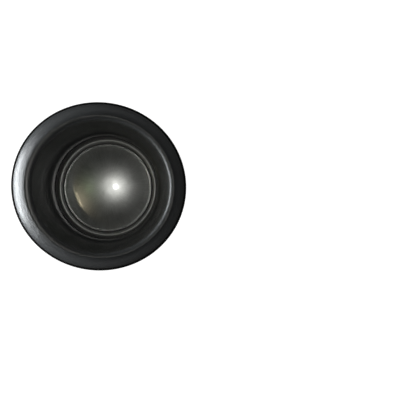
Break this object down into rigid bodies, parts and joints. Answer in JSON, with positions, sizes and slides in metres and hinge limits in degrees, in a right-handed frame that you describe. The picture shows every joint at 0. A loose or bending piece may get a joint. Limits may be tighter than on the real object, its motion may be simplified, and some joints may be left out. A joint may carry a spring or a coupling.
{
  "type": "car tweeter",
  "caption": "Flush-mount dome tweeter with an oval rounded flange, a deep off-centre waveguide bowl, a round spigot with spring panel clips and rear tab terminals.",
  "frame": {"origin": "centre of the spigot at the plane where the gasket meets the panel", "axes": "+Z points out of the front, the way the dome faces; +X runs along the flange's long axis, towards the side to which the dome is offset; +Y follows the right-hand rule"},
  "size_m": [0.05, 0.048, 0.024],
  "materials": {
    "bezel_plastic": "satin",
    "gasket_foam": "matt",
    "body_plastic": "fine texture",
    "screw_steel": "zinc plated",
    "frame_plastic": "matt",
    "surround_rubber": "satin",
    "dome_metal": "fine satin, dark",
    "collar_metal": "satin",
    "former_foil": "plain",
    "copper": "enamelled copper wire",
    "plated_steel": "zinc plated",
    "magnet_nickel": "nickel plated",
    "felt": "felt",
    "foam": "open cell foam",
    "phenolic": "laminate",
    "terminal_tin": "tin plated",
    "rivet_metal": "plain",
    "wire_red": "insulation",
    "wire_black": "insulation",
    "capacitor_case": "moulded box",
    "spring_steel": "spring steel"
  },
  "bodies": {
    "housing": {"waveguide_bezel": "bezel_plastic", "flange_gasket": "gasket_foam", "mounting_body": "body_plastic", "rear_cover": "body_plastic", "cover_screws": "screw_steel", "diaphragm_frame": "frame_plastic", "frame_screws": "screw_steel", "surround": "surround_rubber", "yoke_cup": "plated_steel", "magnet_disc": "magnet_nickel", "pole_piece": "plated_steel", "damping_pad": "felt", "chamber_foam": "foam", "terminal_board": "phenolic", "terminal_positive": "terminal_tin", "terminal_negative": "terminal_tin", "terminal_rivets": "rivet_metal", "solder_lugs": "terminal_tin", "lead_positive": "copper", "lead_negative": "copper", "hookup_wire_positive": "wire_red", "hookup_wire_negative": "wire_black", "feed_wire_positive": "wire_red", "highpass_capacitor": "capacitor_case", "clip_feet": "spring_steel", "clip_rivets": "rivet_metal"},
    "diaphragm": {"dome": "dome_metal", "dome_collar": "collar_metal", "coil_former": "former_foil", "voice_coil": "copper"},
    "clip_1": {"clip_leaf_1": "spring_steel"},
    "clip_2": {"clip_leaf_2": "spring_steel"},
    "clip_3": {"clip_leaf_3": "spring_steel"},
    "clip_4": {"clip_leaf_4": "spring_steel"}
  },
  "joints": [
    {"name": "dome_travel", "type": "slide", "parent": "housing", "child": "diaphragm", "axis": [0, 0, 1], "range_m": [-0.0004, 0.0004], "stiffness_N_per_m": 2000, "deforming": ["surround", "lead_positive", "lead_negative"]},
    {"name": "clip_1_flex", "type": "hinge", "parent": "housing", "child": "clip_1", "pos_m": [0.02097, 0, -0.0125], "axis": [0, -1, 0], "range_deg": [0, 11], "stiffness_Nm_per_rad": 0.2},
    {"name": "clip_2_flex", "type": "hinge", "parent": "housing", "child": "clip_2", "pos_m": [0, 0.02097, -0.0125], "axis": [1, 0, 0], "range_deg": [0, 11], "stiffness_Nm_per_rad": 0.2},
    {"name": "clip_3_flex", "type": "hinge", "parent": "housing", "child": "clip_3", "pos_m": [-0.02097, 0, -0.0125], "axis": [0, 1, 0], "range_deg": [0, 11], "stiffness_Nm_per_rad": 0.2},
    {"name": "clip_4_flex", "type": "hinge", "parent": "housing", "child": "clip_4", "pos_m": [0, -0.02097, -0.0125], "axis": [-1, 0, 0], "range_deg": [0, 11], "stiffness_Nm_per_rad": 0.2}
  ]
}
